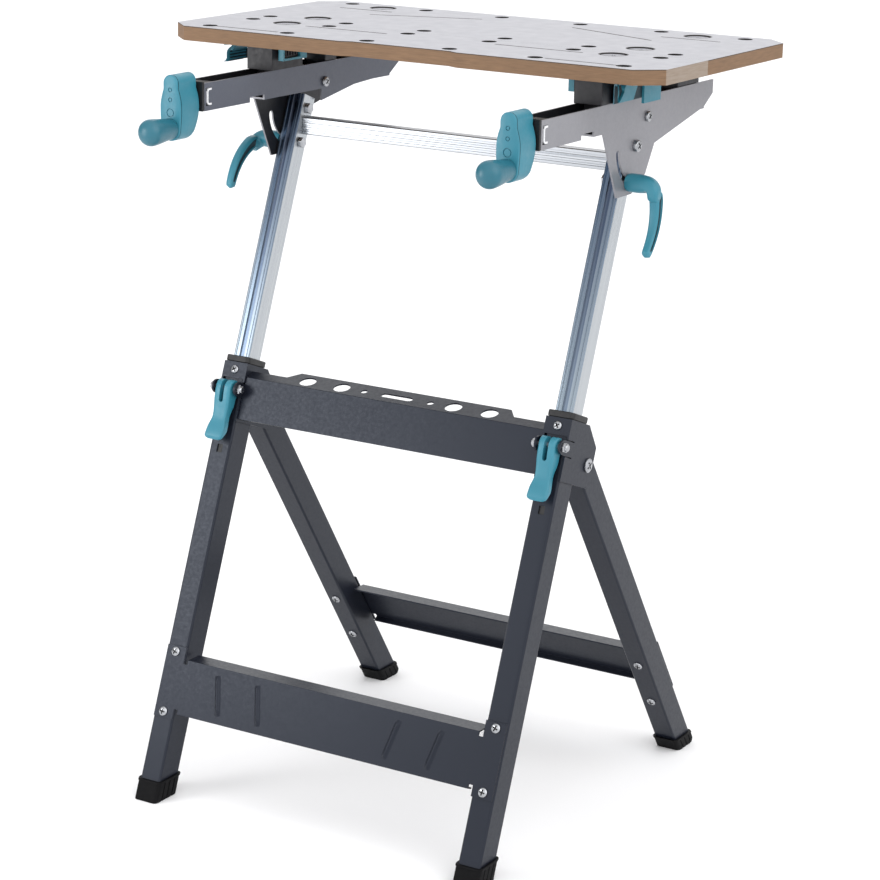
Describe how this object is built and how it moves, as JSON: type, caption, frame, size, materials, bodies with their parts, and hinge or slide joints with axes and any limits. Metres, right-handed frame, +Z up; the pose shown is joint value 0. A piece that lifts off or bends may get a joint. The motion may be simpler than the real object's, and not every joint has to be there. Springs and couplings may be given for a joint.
{
  "type": "folding workbench",
  "caption": "Folding workbench with a tilting clamping table on telescopic posts, crank-driven front jaw, bench-dog holes, a tool beam and a folding rear frame.",
  "frame": {"origin": "on the floor, under the middle of the bench's bounding box", "axes": "+X to the right of the person who stands in front of the bench, +Y to the back, +Z up"},
  "size_m": [0.728, 0.614, 1.008],
  "materials": {
    "teal_plastic": "satin moulded plastic",
    "frame_paint": "anthracite powder coat",
    "arm_paint": "grey metallic coat",
    "black_plastic": "matt moulded plastic",
    "holder_plastic": "matt moulded plastic",
    "foot_rubber": "matt rubber",
    "aluminium": "extruded, clear anodised",
    "zinc": "zinc plated",
    "disc_plastic": "matt moulded plastic",
    "board": "fibreboard with a pale grey coated top"
  },
  "bodies": {
    "base": {"front_leg_left": "frame_paint", "front_leg_right": "frame_paint", "front_foot_left": "foot_rubber", "front_foot_right": "foot_rubber", "hinge_bracket_left": "frame_paint", "hinge_bracket_right": "frame_paint", "rear_leg_pivot_left": "zinc", "rear_leg_pivot_right": "zinc", "guide_collar_left": "black_plastic", "guide_collar_right": "black_plastic", "height_clamp_pin_left": "zinc", "height_clamp_pin_right": "zinc", "upper_tool_beam": "frame_paint", "lower_front_beam": "frame_paint"},
    "rear_frame": {"rear_leg_left": "frame_paint", "rear_leg_right": "frame_paint", "rear_foot_left": "foot_rubber", "rear_foot_right": "foot_rubber", "lower_rear_beam": "frame_paint"},
    "post_frame": {"post_left": "aluminium", "post_right": "aluminium", "post_guide_shoe_left": "black_plastic", "post_guide_shoe_right": "black_plastic", "tilt_pivot_bolt_left": "zinc", "tilt_pivot_bolt_right": "zinc", "tilt_clamp_bolt_left": "zinc", "tilt_clamp_bolt_right": "zinc", "cross_profile": "aluminium"},
    "table": {"arm_left": "arm_paint", "arm_right": "arm_paint", "arm_end_bearing_left": "black_plastic", "arm_end_bearing_right": "black_plastic", "arm_tie_bolt_left": "zinc", "arm_tie_bolt_right": "zinc", "rear_jaw": "board", "middle_jaw_holder_left": "holder_plastic", "middle_jaw_holder_right": "holder_plastic", "rear_jaw_holder_left": "holder_plastic", "rear_jaw_holder_right": "holder_plastic", "middle_jaw_bolt_left": "disc_plastic", "middle_jaw_bolt_right": "disc_plastic", "rear_jaw_bolt_left": "disc_plastic", "rear_jaw_bolt_right": "disc_plastic"},
    "front_jaw_body": {"front_jaw": "board", "front_carriage_left": "holder_plastic", "front_carriage_right": "holder_plastic", "front_jaw_bolt_left": "disc_plastic", "front_jaw_bolt_right": "disc_plastic"},
    "release_left": {"release_clip_left": "teal_plastic"},
    "release_right": {"release_clip_right": "teal_plastic"},
    "crank_left": {"spindle_left": "zinc", "crank_arm_left": "teal_plastic"},
    "crank_right": {"spindle_right": "zinc", "crank_arm_right": "teal_plastic"},
    "knob_left": {"crank_knob_left": "teal_plastic"},
    "knob_right": {"crank_knob_right": "teal_plastic"},
    "height_lever_body_left": {"height_lever_left": "teal_plastic"},
    "height_lever_body_right": {"height_lever_right": "teal_plastic"},
    "tilt_lever_body_left": {"tilt_lever_left": "teal_plastic"},
    "tilt_lever_body_right": {"tilt_lever_right": "teal_plastic"}
  },
  "joints": [
    {"name": "rear_fold", "type": "hinge", "parent": "base", "child": "rear_frame", "pos_m": [0, -0.0524, 0.49402], "axis": [-1, 0, 0], "range_deg": [0, 55]},
    {"name": "height_slide", "type": "slide", "parent": "base", "child": "post_frame", "axis": [0, 0.3502, 0.9367], "range_m": [-0.252, 0]},
    {"name": "table_tilt", "type": "hinge", "parent": "post_frame", "child": "table", "pos_m": [0, 0.05003, 0.89077], "axis": [1, 0, 0], "range_deg": [0, 63]},
    {"name": "crank_left_turn", "type": "hinge", "parent": "table", "child": "crank_left", "pos_m": [-0.246, 0.05003, 0.9343], "axis": [0, 1, 0], "range_deg": [0, 5760]},
    {"name": "crank_right_turn", "type": "hinge", "parent": "table", "child": "crank_right", "pos_m": [0.246, 0.05003, 0.9343], "axis": [0, 1, 0], "range_deg": [0, 5760]},
    {"name": "jaw_slide", "type": "slide", "parent": "table", "child": "front_jaw_body", "axis": [0, -1, 0], "range_m": [0, 0.128]},
    {"name": "knob_left_spin", "type": "hinge", "parent": "crank_left", "child": "knob_left", "pos_m": [-0.246, 0.05003, 0.8973], "axis": [0, 1, 0], "continuous": true},
    {"name": "knob_right_spin", "type": "hinge", "parent": "crank_right", "child": "knob_right", "pos_m": [0.246, 0.05003, 0.8973], "axis": [0, 1, 0], "continuous": true},
    {"name": "release_left_pull", "type": "slide", "parent": "front_jaw_body", "child": "release_left", "axis": [-1, 0, 0], "range_m": [0, 0.004], "stiffness_N_per_m": 500},
    {"name": "release_right_pull", "type": "slide", "parent": "front_jaw_body", "child": "release_right", "axis": [1, 0, 0], "range_m": [0, 0.004], "stiffness_N_per_m": 500},
    {"name": "height_lever_left_swing", "type": "hinge", "parent": "base", "child": "height_lever_body_left", "pos_m": [-0.248, -0.1181, 0.53246], "axis": [-1, 0, 0], "range_deg": [0, 100]},
    {"name": "height_lever_right_swing", "type": "hinge", "parent": "base", "child": "height_lever_body_right", "pos_m": [0.248, -0.1181, 0.53246], "axis": [-1, 0, 0], "range_deg": [0, 100]},
    {"name": "tilt_lever_left_swing", "type": "hinge", "parent": "post_frame", "child": "tilt_lever_body_left", "pos_m": [-0.248, 0.0334, 0.84628], "axis": [1, 0, 0], "range_deg": [0, 90]},
    {"name": "tilt_lever_right_swing", "type": "hinge", "parent": "post_frame", "child": "tilt_lever_body_right", "pos_m": [0.248, 0.0334, 0.84628], "axis": [1, 0, 0], "range_deg": [0, 90]}
  ],
  "couplings": [
    {"joint": "crank_left_turn", "follows": "jaw_slide", "rad_per_m": 785.39},
    {"joint": "crank_right_turn", "follows": "jaw_slide", "rad_per_m": 785.39}
  ]
}
